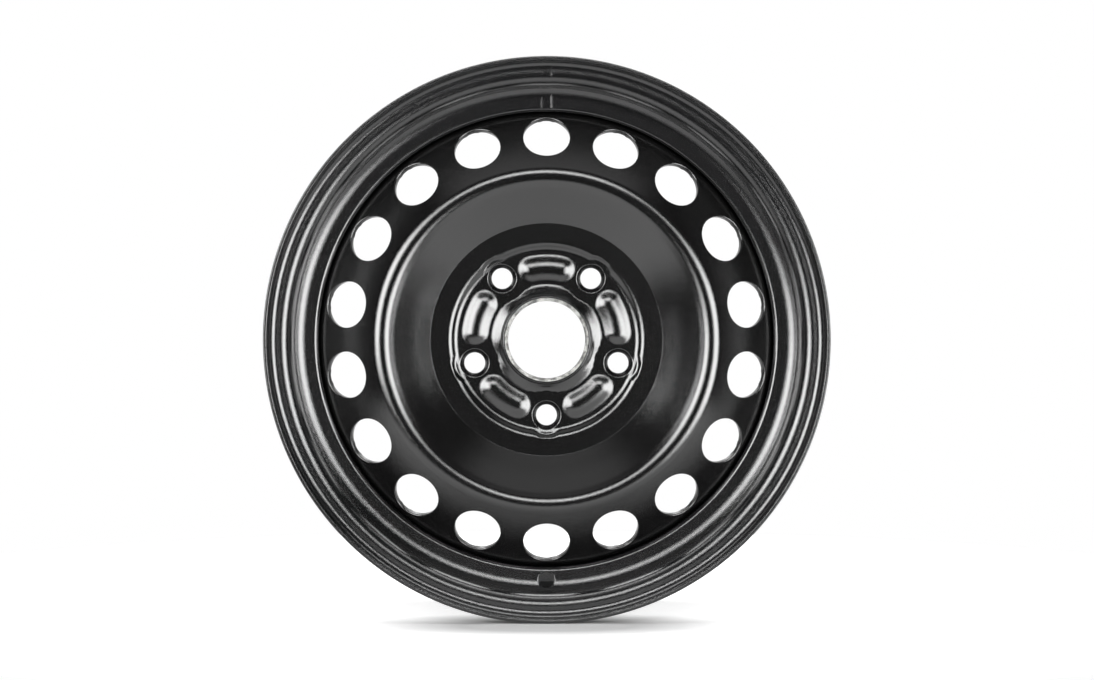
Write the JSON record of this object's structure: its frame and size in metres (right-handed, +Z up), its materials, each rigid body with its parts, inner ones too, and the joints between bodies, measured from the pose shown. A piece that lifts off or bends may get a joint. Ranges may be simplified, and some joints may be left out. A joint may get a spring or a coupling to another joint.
{
  "type": "steel car wheel",
  "caption": "Pressed-steel car wheel: rolled drop-centre rim and a dished, vented disc with bolt seats, a centring bore and a valve hole, satin black coated.",
  "frame": {"origin": "on the axle, in the middle plane of the rim", "axes": "Y is the axle, +Y towards the vehicle so the outer face looks along -Y; +Z up; the valve hole is at the bottom, along -Z"},
  "size_m": [0.4146, 0.1744, 0.4148],
  "materials": {
    "rim_coat": "satin black electrocoat",
    "disc_coat": "satin black electrocoat",
    "weld_coat": "satin black electrocoat over rippled weld"
  },
  "bodies": {
    "root": {"rim": "rim_coat", "disc": "disc_coat", "weld_beads": "weld_coat"}
  },
  "joints": []
}
